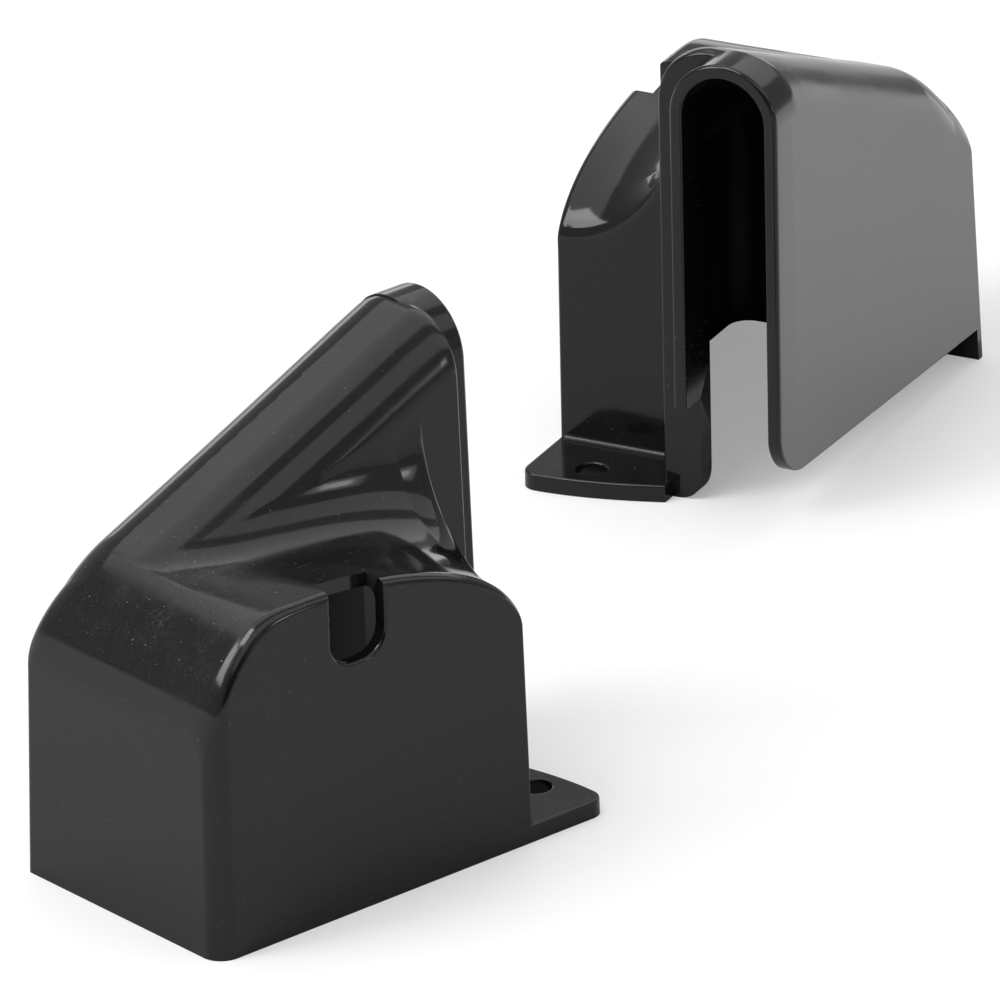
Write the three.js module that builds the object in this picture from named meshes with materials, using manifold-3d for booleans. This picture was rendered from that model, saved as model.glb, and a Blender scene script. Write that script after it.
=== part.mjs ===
// Pair of skate blade guards: two identical one-piece plastic mouldings, each a hollow
// box with a scooped top, a tall inverted-U blade channel along one side and a foot tab.
// Units are millimetres, +Z is up, both guards stand on z = 0, the pair is centred on the origin.
import * as THREE from 'three';
import Module from 'manifold-3d';
import { mergeVertices } from 'three/addons/utils/BufferGeometryUtils.js';

const wasm = await Module();
wasm.setup();

// Plan sizes of one guard: x runs from the plain end to the open end, y from the notched face.
const BODY_LENGTH = 87.8;
const BODY_WIDTH = 64.6;
const CHANNEL_END = 99;
const COLLAR_END = 106.3;
const CHANNEL_SIDE = 31.6;
const COLLAR_SIDE = 38;
const WALL = 3.2;
const END_WALL = 5.2;
const END_DRAFT = Math.tan(THREE.MathUtils.degToRad(1.1));
const SIDE_DRAFT = Math.tan(THREE.MathUtils.degToRad(1.5));

// Side profile: a round shoulder that runs into the straight sloping ridge.
const SHOULDER_RADIUS = 31;
const SHOULDER_START = 48.4;
const RIDGE_ANGLE = THREE.MathUtils.degToRad(22.6);
const RIDGE_RADIUS = (BODY_WIDTH - COLLAR_SIDE) / 2;
const RIDGE_END_DROP = 0.8;
const RIDGE_END_LENGTH = 4.5;
const FLAT_EDGE_RADIUS = 2;
const FULL_ROUND_AT = 9;
const RIDGE_SAG = 0.12;

// Arched top edge of the notched face.
const ARCH_CENTRE_X = 28;
const ARCH_CENTRE_Z = 51;
const ARCH_RISE = 24.6;
const ARCH_BLEND = 3;
const FACE_EDGE_RADIUS = 2.6;
const FACE_EDGE_START = 0.8;
const FACE_EDGE_GROWTH = 0.4;
const CORNER_RADIUS = 5;

// Scoop between the arch and the channel.
const SCOOP_START = 14.6;
const SCOOP_DEEP = 80;
const SCOOP_TURN_POWER = 0.55;
const SCOOP_HANDLE_SHALLOW = 0.7;
const SCOOP_HANDLE_DEEP = 0.46;
const SCOOP_RISE_HANDLE = 0.42;
const SCOOP_RISE_START = 0.4;

// Collar round the open end of the channel.
const COLLAR_TOP = 109.4;
const COLLAR_RADIUS = (BODY_WIDTH - COLLAR_SIDE) / 2;
const COLLAR_LEG_FOOT = 25;
const END_CORNER_HEIGHT = 7;
const END_CORNER_START = 34.9;

// Foot tab with its screw hole.
const TAB_THICKNESS = 4;
const TAB_END = 108.6;
const TAB_END_FAR = 102.8;
const TAB_WIDTH = 33.9;
const TAB_CORNER = 4;
const HOLE_X = 100.8;
const HOLE_Y = 14.5;
const HOLE_RADIUS = 3.5;

// Notch in the face, and the raised lower edge of the flat side.
const NOTCH_LEFT = 33.4;
const NOTCH_RIGHT = 48.7;
const NOTCH_FLOOR = 57.8;
const NOTCH_RADIUS = 6;
const NOTCH_DEPTH = 6;
const SIDE_EDGE_LOW = 7.1;
const SIDE_EDGE_HIGH = 10.3;
const SIDE_CORNER = 13;

// Where the two guards stand.
const GUARDS = [
  { name: 'guard_near', position: [-165.6, -91.65], turn: 0 },
  { name: 'guard_far', position: [140.8, 93.25], turn: -157.4 },
];

// Mesh fineness.
const SHOULDER_STEPS = 9;
const LENGTH_STEPS = 16;
const EDGE_STEPS = 4;
const SCOOP_STEPS = 9;
const ROUND_STEPS = 14;
const ARC_STEPS = 14;
const OVER = 2;
const WELD = 1e-4;
const DEEPER = 0.4;

function clamp01(value) {
  return Math.min(1, Math.max(0, value));
}

function smoothMin(a, b, blend) {
  const h = clamp01(0.5 + (0.5 * (b - a)) / blend);
  return b + (a - b) * h - blend * h * (1 - h);
}

// Height of the shoulder and ridge at x, for the outside (inset 0) or the inside of the wall.
function ridgeHeight(x, inset) {
  const radius = SHOULDER_RADIUS - inset;
  const across = Math.max(-1, (x - SHOULDER_RADIUS) / radius);
  const bend = -Math.sin(RIDGE_ANGLE);
  if (across < bend) {
    return SHOULDER_START + radius * Math.sqrt(Math.max(0, 1 - across * across));
  }
  const turnX = SHOULDER_RADIUS + radius * bend;
  const turnZ = SHOULDER_START + radius * Math.cos(RIDGE_ANGLE);
  return turnZ + (x - turnX) * Math.tan(RIDGE_ANGLE);
}

// The ridge rounds down to its end face.
function endDrop(x) {
  const run = clamp01((x - (CHANNEL_END - RIDGE_END_LENGTH)) / RIDGE_END_LENGTH);
  return (RIDGE_END_DROP + RIDGE_END_LENGTH * Math.tan(RIDGE_ANGLE)) * (1 - Math.sqrt(1 - run * run));
}

function archHeight(x, inset) {
  const reach = BODY_LENGTH - ARCH_CENTRE_X - inset;
  const across = clamp01((x - ARCH_CENTRE_X) / reach);
  const arch = ARCH_CENTRE_Z + (ARCH_RISE - inset) * Math.sqrt(Math.max(0, 1 - across * across));
  return smoothMin(arch, ridgeHeight(x, inset), ARCH_BLEND);
}

// Outline (y, z) of the guard at x, from the foot of the face up, over and down the flat side.
function section(x, inset, channelOnly) {
  const ridge = ridgeHeight(x, inset) - (inset > 0 ? 0 : endDrop(x));
  const radius = RIDGE_RADIUS - inset;
  const side = BODY_WIDTH - inset;
  const centreY = CHANNEL_SIDE + RIDGE_RADIUS;
  const grow = Math.sqrt(clamp01(x / FULL_ROUND_AT));
  const edge = FLAT_EDGE_RADIUS + (radius - FLAT_EDGE_RADIUS) * grow;
  const deep = clamp01((x - SCOOP_START) / (SCOOP_DEEP - SCOOP_START));
  const angle = (-Math.PI / 2) * Math.pow(deep, SCOOP_TURN_POWER);
  const sag = RIDGE_SAG * radius * deep * deep;
  const points = [];

  const cornerRun = clamp01(1 - (x - inset) / CORNER_RADIUS);
  const faceY = inset + CORNER_RADIUS * (1 - Math.sqrt(1 - cornerRun * cornerRun));
  const top = archHeight(x, inset);
  const joinY = centreY + radius * Math.sin(angle);
  const joinZ = ridge - radius + radius * Math.cos(angle) - sag;
  if (channelOnly) {
    const wallY = centreY - radius;
    const count = EDGE_STEPS + SCOOP_STEPS + 2;
    for (let i = 0; i < count; i += 1) {
      points.push([wallY, (joinZ * i) / count]);
    }
  } else {
    const edgeRadius = Math.min(FACE_EDGE_RADIUS, FACE_EDGE_START + x * FACE_EDGE_GROWTH);
    points.push([faceY, 0]);
    for (let i = 0; i <= EDGE_STEPS; i += 1) {
      const a = (i / EDGE_STEPS) * (Math.PI / 2);
      const z = top - edgeRadius * (1 - Math.sin(a));
      points.push([faceY + edgeRadius * (1 - Math.cos(a)), z]);
    }
    const startY = faceY + edgeRadius;
    const handle = THREE.MathUtils.lerp(SCOOP_HANDLE_SHALLOW, SCOOP_HANDLE_DEEP, deep);
    const reach = joinY - startY;
    const grown = THREE.MathUtils.lerp(SCOOP_RISE_START, 1, deep);
    const rise = SCOOP_RISE_HANDLE * Math.hypot(reach, joinZ - top) * grown;
    const curve = new THREE.CubicBezierCurve(
      new THREE.Vector2(startY, top),
      new THREE.Vector2(startY + reach * handle, top),
      new THREE.Vector2(joinY - rise * Math.cos(angle), joinZ + rise * Math.sin(angle)),
      new THREE.Vector2(joinY, joinZ),
    );
    for (let i = 1; i <= SCOOP_STEPS; i += 1) {
      const p = curve.getPoint(i / (SCOOP_STEPS + 1));
      points.push([p.x, p.y]);
    }
  }
  for (let i = 0; i <= ROUND_STEPS; i += 1) {
    const a = angle + ((Math.PI / 2 - angle) * i) / ROUND_STEPS;
    if (a < 0) {
      const lower = i === 0 ? sag : 0;
      points.push([centreY + radius * Math.sin(a), ridge - radius * (1 - Math.cos(a)) - lower]);
    } else {
      points.push([side - edge * (1 - Math.sin(a)), ridge - edge * (1 - Math.cos(a))]);
    }
  }
  points.push([side, 0]);
  return points;
}

// Closed solid through outlines that all have the same number of points.
function loft(stations) {
  const count = stations[0].outline.length;
  const positions = [];
  const index = [];
  for (const station of stations) {
    for (const [y, z] of station.outline) {
      positions.push(station.x, y, z);
    }
  }
  for (let s = 0; s + 1 < stations.length; s += 1) {
    for (let i = 0; i < count; i += 1) {
      const a = s * count + i;
      const b = s * count + ((i + 1) % count);
      index.push(a, a + count, b, b, a + count, b + count);
    }
  }
  for (const [s, flip] of [[0, false], [stations.length - 1, true]]) {
    const { x, outline } = stations[s];
    const centre = positions.length / 3;
    positions.push(
      x,
      outline.reduce((sum, [y]) => sum + y, 0) / count,
      outline.reduce((sum, [, z]) => sum + z, 0) / count,
    );
    for (let i = 0; i < count; i += 1) {
      const a = s * count + i;
      const b = s * count + ((i + 1) % count);
      index.push(centre, flip ? b : a, flip ? a : b);
    }
  }
  const geometry = new THREE.BufferGeometry();
  geometry.setAttribute('position', new THREE.Float32BufferAttribute(positions, 3));
  geometry.setIndex(index);
  return geometry;
}

function solid(geometry) {
  const bare = geometry.clone();
  bare.deleteAttribute('normal');
  bare.deleteAttribute('uv');
  const merged = mergeVertices(bare, WELD);
  const corners = merged.index.array;
  const kept = [];
  for (let i = 0; i < corners.length; i += 3) {
    const [a, b, c] = corners.slice(i, i + 3);
    if (a !== b && b !== c && c !== a) {
      kept.push(a, b, c);
    }
  }
  return new wasm.Manifold(new wasm.Mesh({
    numProp: 3,
    vertProperties: new Float32Array(merged.attributes.position.array),
    triVerts: new Uint32Array(kept),
  }));
}

// Body or cavity: full outline up to the box end, then the channel alone.
function bodyLoft(inset, channelEnd) {
  const boxEnd = BODY_LENGTH - inset;
  const stations = [];
  for (let i = 0; i < SHOULDER_STEPS; i += 1) {
    const a = (i / SHOULDER_STEPS) * (Math.PI / 2 - RIDGE_ANGLE);
    stations.push(SHOULDER_RADIUS - (SHOULDER_RADIUS - inset) * Math.cos(a));
  }
  const start = SHOULDER_RADIUS - (SHOULDER_RADIUS - inset) * Math.sin(RIDGE_ANGLE);
  for (let i = 0; i <= LENGTH_STEPS; i += 1) {
    stations.push(start + (boxEnd - start) * Math.sin(((i / LENGTH_STEPS) * Math.PI) / 2));
  }
  const outlines = stations.map((x) => ({ x, outline: section(x, inset, false) }));
  outlines.push({ x: boxEnd, outline: section(boxEnd, inset, true) });
  const round = channelEnd - RIDGE_END_LENGTH;
  for (let i = 0; i <= EDGE_STEPS; i += 1) {
    const x = round + RIDGE_END_LENGTH * Math.sin(((i / EDGE_STEPS) * Math.PI) / 2);
    outlines.push({ x, outline: section(x, inset, true) });
  }
  return solid(loft(outlines));
}

// Prism whose outline lies in the y-z plane, running along x.
function prismAlongX(shape, from, to) {
  const geometry = new THREE.ExtrudeGeometry(shape, {
    depth: to - from,
    bevelEnabled: false,
    curveSegments: ARC_STEPS,
  });
  const turn = new THREE.Matrix4().makeBasis(
    new THREE.Vector3(0, 1, 0),
    new THREE.Vector3(0, 0, 1),
    new THREE.Vector3(1, 0, 0),
  );
  geometry.applyMatrix4(turn);
  geometry.translate(from, 0, 0);
  return solid(geometry);
}

// Prism whose outline lies in the x-z plane, running along y.
function prismAlongY(shape, from, to) {
  const geometry = new THREE.ExtrudeGeometry(shape, {
    depth: to - from,
    bevelEnabled: false,
    curveSegments: ARC_STEPS,
  });
  geometry.rotateX(Math.PI / 2);
  geometry.translate(0, to, 0);
  return solid(geometry);
}

function prismAlongZ(shape, from, to) {
  const geometry = new THREE.ExtrudeGeometry(shape, {
    depth: to - from,
    bevelEnabled: false,
    curveSegments: ARC_STEPS,
  });
  geometry.translate(0, 0, from);
  return solid(geometry);
}

// Inverted U between two side faces, open at the bottom.
function archShape(left, right, top, bottom) {
  const radius = (right - left) / 2;
  const shape = new THREE.Shape();
  shape.moveTo(left, bottom);
  shape.lineTo(right, bottom);
  shape.lineTo(right, top - radius);
  shape.absarc((left + right) / 2, top - radius, radius, 0, Math.PI, false);
  shape.lineTo(left, bottom);
  return shape;
}

function collar() {
  const shape = archShape(COLLAR_SIDE, BODY_WIDTH, COLLAR_TOP, 0);
  return prismAlongX(shape, CHANNEL_END - OVER, COLLAR_END);
}

function collarBore() {
  const left = COLLAR_SIDE + WALL;
  const right = BODY_WIDTH - WALL;
  const shape = archShape(left, right, COLLAR_TOP - WALL, -OVER);
  return prismAlongX(shape, CHANNEL_END - END_WALL - DEEPER, COLLAR_END + OVER);
}

// The collar's inner leg stops short of the base.
function legRelief() {
  const shape = new THREE.Shape();
  shape.moveTo(COLLAR_SIDE - OVER, -OVER);
  shape.lineTo(COLLAR_SIDE + WALL + OVER, -OVER);
  shape.lineTo(COLLAR_SIDE + WALL + OVER, COLLAR_LEG_FOOT);
  shape.lineTo(COLLAR_SIDE - OVER, COLLAR_LEG_FOOT);
  return prismAlongX(shape, CHANNEL_END, COLLAR_END + OVER);
}

// Rounded lower corner of the channel's end wall.
function endWallCorner() {
  const free = COLLAR_SIDE + WALL;
  const shape = new THREE.Shape();
  shape.moveTo(free + OVER, -OVER);
  shape.lineTo(free + OVER, END_CORNER_HEIGHT);
  shape.lineTo(free, END_CORNER_HEIGHT);
  shape.quadraticCurveTo(free, 0, END_CORNER_START, 0);
  shape.lineTo(END_CORNER_START, -OVER);
  return prismAlongX(shape, CHANNEL_END - END_WALL - DEEPER, CHANNEL_END + OVER);
}

// The flat side ends above the base, with a rounded corner at the open end.
function sideRelief() {
  const slope = (SIDE_EDGE_HIGH - SIDE_EDGE_LOW) / COLLAR_END;
  const shape = new THREE.Shape();
  shape.moveTo(WALL, -OVER);
  shape.lineTo(COLLAR_END + OVER, -OVER);
  shape.lineTo(COLLAR_END + OVER, SIDE_EDGE_HIGH + SIDE_CORNER);
  shape.lineTo(COLLAR_END, SIDE_EDGE_HIGH + SIDE_CORNER);
  shape.absarc(
    COLLAR_END - SIDE_CORNER,
    SIDE_EDGE_HIGH + SIDE_CORNER,
    SIDE_CORNER,
    0,
    -Math.PI / 2,
    true,
  );
  shape.lineTo(WALL, SIDE_EDGE_LOW + slope * WALL);
  return prismAlongY(shape, BODY_WIDTH - WALL - DEEPER, BODY_WIDTH + OVER);
}

function notch() {
  const top = ARCH_CENTRE_Z + ARCH_RISE + OVER;
  const shape = new THREE.Shape();
  shape.moveTo(NOTCH_LEFT, top);
  shape.lineTo(NOTCH_LEFT, NOTCH_FLOOR + NOTCH_RADIUS);
  shape.absarc(
    NOTCH_LEFT + NOTCH_RADIUS,
    NOTCH_FLOOR + NOTCH_RADIUS,
    NOTCH_RADIUS,
    Math.PI,
    1.5 * Math.PI,
    false,
  );
  shape.absarc(
    NOTCH_RIGHT - NOTCH_RADIUS,
    NOTCH_FLOOR + NOTCH_RADIUS,
    NOTCH_RADIUS,
    1.5 * Math.PI,
    2 * Math.PI,
    false,
  );
  shape.lineTo(NOTCH_RIGHT, top);
  return prismAlongY(shape, -OVER, NOTCH_DEPTH);
}

// Foot plate, flush with the face and the base; its free end slants back towards the channel.
function tab() {
  const shape = new THREE.Shape();
  shape.moveTo(BODY_LENGTH - OVER, 0);
  shape.lineTo(TAB_END - TAB_CORNER, 0);
  shape.quadraticCurveTo(TAB_END, 0, TAB_END, TAB_CORNER);
  shape.quadraticCurveTo(TAB_END, TAB_WIDTH / 2, TAB_END_FAR, TAB_WIDTH);
  shape.lineTo(BODY_LENGTH - OVER, TAB_WIDTH);
  return prismAlongZ(shape, 0, TAB_THICKNESS);
}

function screwHole() {
  const shape = new THREE.Shape();
  shape.absarc(HOLE_X, HOLE_Y, HOLE_RADIUS, 0, 2 * Math.PI, false);
  return prismAlongZ(shape, -OVER, TAB_THICKNESS + OVER);
}

// Moulding draft: the end faces lean in as they rise, and so does the flat side at its plain end.
function drafted(geometry) {
  const position = geometry.attributes.position;
  for (let i = 0; i < position.count; i += 1) {
    const x = position.getX(i);
    const y = position.getY(i);
    const z = position.getZ(i);
    const endLean = Math.max(-1, 1 - (2 * x) / BODY_LENGTH);
    const sideLean = clamp01(1 - x / CHANNEL_END) * (y / BODY_WIDTH);
    position.setX(i, x + END_DRAFT * z * endLean);
    position.setY(i, y - SIDE_DRAFT * z * sideLean);
  }
  return geometry;
}

// Opens the cavity through the base.
function cavityMouth() {
  const right = BODY_WIDTH - WALL;
  const inner = CHANNEL_SIDE + WALL;
  const shape = new THREE.Shape();
  shape.moveTo(WALL, WALL + CORNER_RADIUS);
  shape.quadraticCurveTo(WALL, WALL, WALL + CORNER_RADIUS, WALL);
  shape.lineTo(BODY_LENGTH - WALL, WALL);
  shape.lineTo(BODY_LENGTH - WALL, inner);
  shape.lineTo(CHANNEL_END - END_WALL, inner);
  shape.lineTo(CHANNEL_END - END_WALL, right);
  shape.lineTo(WALL, right);
  return prismAlongZ(shape, -OVER, OVER);
}

function guardGeometry() {
  const result = bodyLoft(0, CHANNEL_END)
    .add(collar())
    .add(tab())
    .subtract(bodyLoft(WALL, CHANNEL_END - END_WALL))
    .subtract(cavityMouth())
    .subtract(collarBore())
    .subtract(legRelief())
    .subtract(endWallCorner())
    .subtract(sideRelief())
    .subtract(notch())
    .subtract(screwHole());
  const mesh = result.getMesh();
  const geometry = new THREE.BufferGeometry();
  geometry.setAttribute('position', new THREE.BufferAttribute(mesh.vertProperties.slice(), 3));
  geometry.setIndex(new THREE.BufferAttribute(mesh.triVerts.slice(), 1));
  return drafted(geometry);
}

const geometry = guardGeometry();
const pair = new THREE.Group();
for (const guard of GUARDS) {
  const material = new THREE.MeshStandardMaterial({
    color: 0x101213,
    roughness: 0.22,
    metalness: 0,
  });
  const mesh = new THREE.Mesh(geometry.clone(), material);
  mesh.name = guard.name;
  mesh.position.set(guard.position[0], guard.position[1], 0);
  mesh.rotation.z = THREE.MathUtils.degToRad(guard.turn);
  pair.add(mesh);
}

export default pair;
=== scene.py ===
import math

import bmesh
import bpy
import numpy as np
from mathutils import Matrix, Vector


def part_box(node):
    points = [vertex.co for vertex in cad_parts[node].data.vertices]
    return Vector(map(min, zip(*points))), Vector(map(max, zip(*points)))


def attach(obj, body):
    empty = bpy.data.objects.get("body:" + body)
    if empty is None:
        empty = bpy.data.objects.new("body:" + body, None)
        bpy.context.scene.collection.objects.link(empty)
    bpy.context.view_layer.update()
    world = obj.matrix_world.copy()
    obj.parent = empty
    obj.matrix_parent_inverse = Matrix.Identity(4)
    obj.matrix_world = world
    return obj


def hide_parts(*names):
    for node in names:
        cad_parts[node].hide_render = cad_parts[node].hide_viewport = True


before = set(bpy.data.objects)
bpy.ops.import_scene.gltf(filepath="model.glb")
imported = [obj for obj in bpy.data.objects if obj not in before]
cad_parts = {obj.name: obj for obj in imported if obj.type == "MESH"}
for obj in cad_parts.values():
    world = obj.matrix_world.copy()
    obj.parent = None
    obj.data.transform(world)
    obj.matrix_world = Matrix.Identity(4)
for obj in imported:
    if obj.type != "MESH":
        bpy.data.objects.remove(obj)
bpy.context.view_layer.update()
MM = 0.001

# ---------------------------------------------------------------- camera
# A long lens from the near guard's plain-end corner, looking down on the pair.
CAMERA_AZIMUTH = math.radians(-39.81)
CAMERA_ELEVATION = math.radians(24.18)
CAMERA_ROLL = math.radians(-1.78)
CAMERA_DISTANCE = 3.541
CAMERA_LENS = 576.0
SENSOR_WIDTH = 36.0
CAMERA_AIM = Vector((0.0016, 0.0116, 0.0221))
CLIP_RANGE = (0.1, 100.0)


def add_camera():
    forward = Vector((
        -math.sin(CAMERA_AZIMUTH) * math.cos(CAMERA_ELEVATION),
        math.cos(CAMERA_AZIMUTH) * math.cos(CAMERA_ELEVATION),
        -math.sin(CAMERA_ELEVATION),
    ))
    right = forward.cross(Vector((0, 0, 1))).normalized()
    up = right.cross(forward)
    rolled_right = right * math.cos(CAMERA_ROLL) + up * math.sin(CAMERA_ROLL)
    rolled_up = up * math.cos(CAMERA_ROLL) - right * math.sin(CAMERA_ROLL)
    data = bpy.data.cameras.new("camera")
    data.lens = CAMERA_LENS
    data.sensor_width = SENSOR_WIDTH
    data.clip_start, data.clip_end = CLIP_RANGE
    camera = bpy.data.objects.new("camera", data)
    turn = Matrix((rolled_right, rolled_up, -forward)).transposed().to_4x4()
    camera.matrix_world = Matrix.Translation(CAMERA_AIM - forward * CAMERA_DISTANCE) @ turn
    bpy.context.scene.collection.objects.link(camera)
    bpy.context.scene.camera = camera


add_camera()
bpy.context.scene.view_settings.view_transform = "Standard"

# ---------------------------------------------------------------- one guard's sizes, millimetres
# Box, channel and walls.
BODY_LENGTH = 87.8
BODY_WIDTH = 64.6
CHANNEL_END = 99.0
COLLAR_END = 106.3
CHANNEL_SIDE = 31.6
COLLAR_SIDE = 38.0
WALL = 3.2
END_WALL = 5.2
END_DRAFT = math.tan(math.radians(1.1))
SIDE_DRAFT = math.tan(math.radians(1.5))

# Shoulder, and the ridge that climbs from it.
SHOULDER_RADIUS = 31.0
SHOULDER_START = 48.4
RIDGE_ANGLE = math.radians(22.6)
RIDGE_RADIUS = (BODY_WIDTH - COLLAR_SIDE) / 2
RIDGE_END_DROP = 0.8
RIDGE_END_LENGTH = 4.5
FLAT_EDGE_RADIUS = 2.0
FULL_ROUND_AT = 9.0
RIDGE_SAG = 0.12

# Arch of the face, its rounded edge and the upright corners.
ARCH_CENTRE_X = 28.0
ARCH_CENTRE_Z = 51.0
ARCH_RISE = 24.6
ARCH_BLEND = 3.0
FACE_EDGE_RADIUS = 2.2
FACE_EDGE_SWELL = 2.6
FACE_EDGE_FADE = 14.0
CORNER_RADIUS = 5.0
BACK_CORNER_RADIUS = 1.6

# Scoop between the arch and the ridge.
SCOOP_START = 14.6
SCOOP_DEEP = 80.0
SCOOP_TURN_POWER = 0.55
SCOOP_HANDLE_SHALLOW = 0.7
SCOOP_HANDLE_DEEP = 0.46
SCOOP_RISE_HANDLE = 0.42
SCOOP_RISE_START = 0.4

# Collar, and the free corner of the channel's end wall.
COLLAR_TOP = 109.4
COLLAR_LEG_FOOT = 25.0
END_CORNER_HEIGHT = 7.0
END_CORNER_START = 34.9

# Foot tab, its fillet and its screw hole.
TAB_THICKNESS = 4.0
TAB_END = 108.6
TAB_END_FAR = 102.8
TAB_WIDTH = 33.9
TAB_CORNER = 4.0
FILLET_RADIUS = 1.1
FILLET_ENDS = (1.2, 33.2)
HOLE_X = 100.8
HOLE_Y = 14.5
HOLE_RADIUS = 3.5

# Notch, and the flat side's lower edge.
NOTCH_LEFT = 33.4
NOTCH_RIGHT = 48.7
NOTCH_FLOOR = 57.8
NOTCH_RADIUS = 6.0
NOTCH_DEPTH = 6.0
SIDE_EDGE_LOW = 7.1
SIDE_EDGE_HIGH = 10.3
SIDE_CORNER = 13.0

# Flat faces, creases and rounded edges.
FLAT_COSINE = math.cos(math.radians(0.05))
CREASE_COSINE = math.cos(math.radians(32))
EDGE_ROUND = 0.9
SMALL_ROUND = 0.5
CREASE_FADE = 0.45

# The far guard's turn from the near one, about +Z.
FAR_TURN = math.radians(-157.4)

# Marks kept on the mesh for the material: the rubbed shoulder, the rounded edges and the hollow inside.
RUBBED = "rubbed"
EDGE = "edge"
HOLLOW = "hollow"
RUBBED_CENTRE = Vector((13.0, 22.0, 72.0))
RUBBED_REACH = Vector((15.0, 26.0, 16.0))
HOLLOW_CENTRE = Vector((44.0, 45.0, 40.0))
HOLLOW_LOWEST = 1.0
FINEST_EDGE = 0.1
FLAT_AREA = 12.0
EDGE_TURN_LOW = 0.3
EDGE_TURN_HIGH = 1.0

# Mesh fineness, and the lengths below which points are one.
SHOULDER_STEPS = 56
LENGTH_STEPS = 110
EDGE_STEPS = 10
SCOOP_STEPS = 44
ROUND_STEPS = 52
DROP_STEPS = 16
ARC_STEPS = 64
BEVEL_STEPS = 6
MERGE_DISTANCE = 1e-4
SHORTEST = 1e-9

# How far a cutter reaches past what it cuts, and how far inside the cavity it starts.
OVER = 2.0
BITE = 0.4


def clamp01(value):
    return min(1.0, max(0.0, value))


def lerp(a, b, t):
    return a + (b - a) * t


def smooth_min(a, b, blend):
    h = clamp01(0.5 + 0.5 * (b - a) / blend)
    return b + (a - b) * h - blend * h * (1 - h)


def ridge_height(x, inset):
    """Height of the shoulder and the ridge's crest at x."""
    radius = SHOULDER_RADIUS - inset
    across = max(-1.0, (x - SHOULDER_RADIUS) / radius)
    bend = -math.sin(RIDGE_ANGLE)
    if across < bend:
        return SHOULDER_START + radius * math.sqrt(max(0.0, 1 - across * across))
    turn_x = SHOULDER_RADIUS + radius * bend
    turn_z = SHOULDER_START + radius * math.cos(RIDGE_ANGLE)
    return turn_z + (x - turn_x) * math.tan(RIDGE_ANGLE)


def end_drop(x):
    """The ridge rounds down to the channel's end face."""
    run = clamp01((x - (CHANNEL_END - RIDGE_END_LENGTH)) / RIDGE_END_LENGTH)
    return (RIDGE_END_DROP + RIDGE_END_LENGTH * math.tan(RIDGE_ANGLE)) * (1 - math.sqrt(1 - run * run))


def arch_height(x, inset):
    reach = BODY_LENGTH - ARCH_CENTRE_X - inset
    across = clamp01((x - ARCH_CENTRE_X) / reach)
    arch = ARCH_CENTRE_Z + (ARCH_RISE - inset) * math.sqrt(max(0.0, 1 - across * across))
    return smooth_min(arch, ridge_height(x, inset), ARCH_BLEND)


def bezier(p0, p1, p2, p3, t):
    s = 1 - t
    return [
        s**3 * a + 3 * s * s * t * b + 3 * s * t * t * c + t**3 * d
        for a, b, c, d in zip(p0, p1, p2, p3)
    ]


def corner_inset(run, radius):
    """How far a vertical corner of this radius pulls a wall in, run from the end face."""
    left = clamp01(1 - run / radius)
    return radius * (1 - math.sqrt(1 - left * left))


def section(x, inset=0.0, channel_only=False):
    """Outline (y, z) of the guard at x, from the foot of the face up, over and down the flat side."""
    ridge = ridge_height(x, inset) - (0 if inset > 0 else end_drop(x))
    radius = RIDGE_RADIUS - inset
    side = BODY_WIDTH - inset - corner_inset(x - inset, BACK_CORNER_RADIUS)
    centre_y = CHANNEL_SIDE + RIDGE_RADIUS
    edge = lerp(FLAT_EDGE_RADIUS, radius, math.sqrt(clamp01(x / FULL_ROUND_AT)))
    deep = clamp01((x - SCOOP_START) / (SCOOP_DEEP - SCOOP_START))
    angle = -math.pi / 2 * deep**SCOOP_TURN_POWER
    sag = RIDGE_SAG * radius * deep * deep
    face_y = inset + corner_inset(x - inset, CORNER_RADIUS)
    top = arch_height(x, inset)
    join_y = centre_y + radius * math.sin(angle)
    join_z = ridge - radius + radius * math.cos(angle) - sag
    points = []
    if channel_only:
        count = EDGE_STEPS + SCOOP_STEPS + 2
        points = [(centre_y - radius, join_z * i / count) for i in range(count)]
    else:
        edge_radius = FACE_EDGE_RADIUS + FACE_EDGE_SWELL * math.exp(-(x / FACE_EDGE_FADE)**2)
        points.append((face_y, 0.0))
        for i in range(EDGE_STEPS + 1):
            a = i / EDGE_STEPS * math.pi / 2
            y = face_y + edge_radius * (1 - math.cos(a))
            points.append((y, top - edge_radius * (1 - math.sin(a))))
        start_y = face_y + edge_radius
        handle = lerp(SCOOP_HANDLE_SHALLOW, SCOOP_HANDLE_DEEP, deep)
        reach = join_y - start_y
        rise = SCOOP_RISE_HANDLE * math.hypot(reach, join_z - top) * lerp(SCOOP_RISE_START, 1, deep)
        for i in range(1, SCOOP_STEPS + 1):
            points.append(bezier(
                (start_y, top),
                (start_y + reach * handle, top),
                (join_y - rise * math.cos(angle), join_z + rise * math.sin(angle)),
                (join_y, join_z),
                i / (SCOOP_STEPS + 1),
            ))
    for i in range(ROUND_STEPS + 1):
        a = lerp(angle, math.pi / 2, i / ROUND_STEPS)
        if a < 0:
            lower = sag if i == 0 else 0
            points.append((centre_y + radius * math.sin(a), ridge - radius * (1 - math.cos(a)) - lower))
        else:
            points.append((side - edge * (1 - math.sin(a)), ridge - edge * (1 - math.cos(a))))
    points.append((side, 0.0))
    return points


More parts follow.
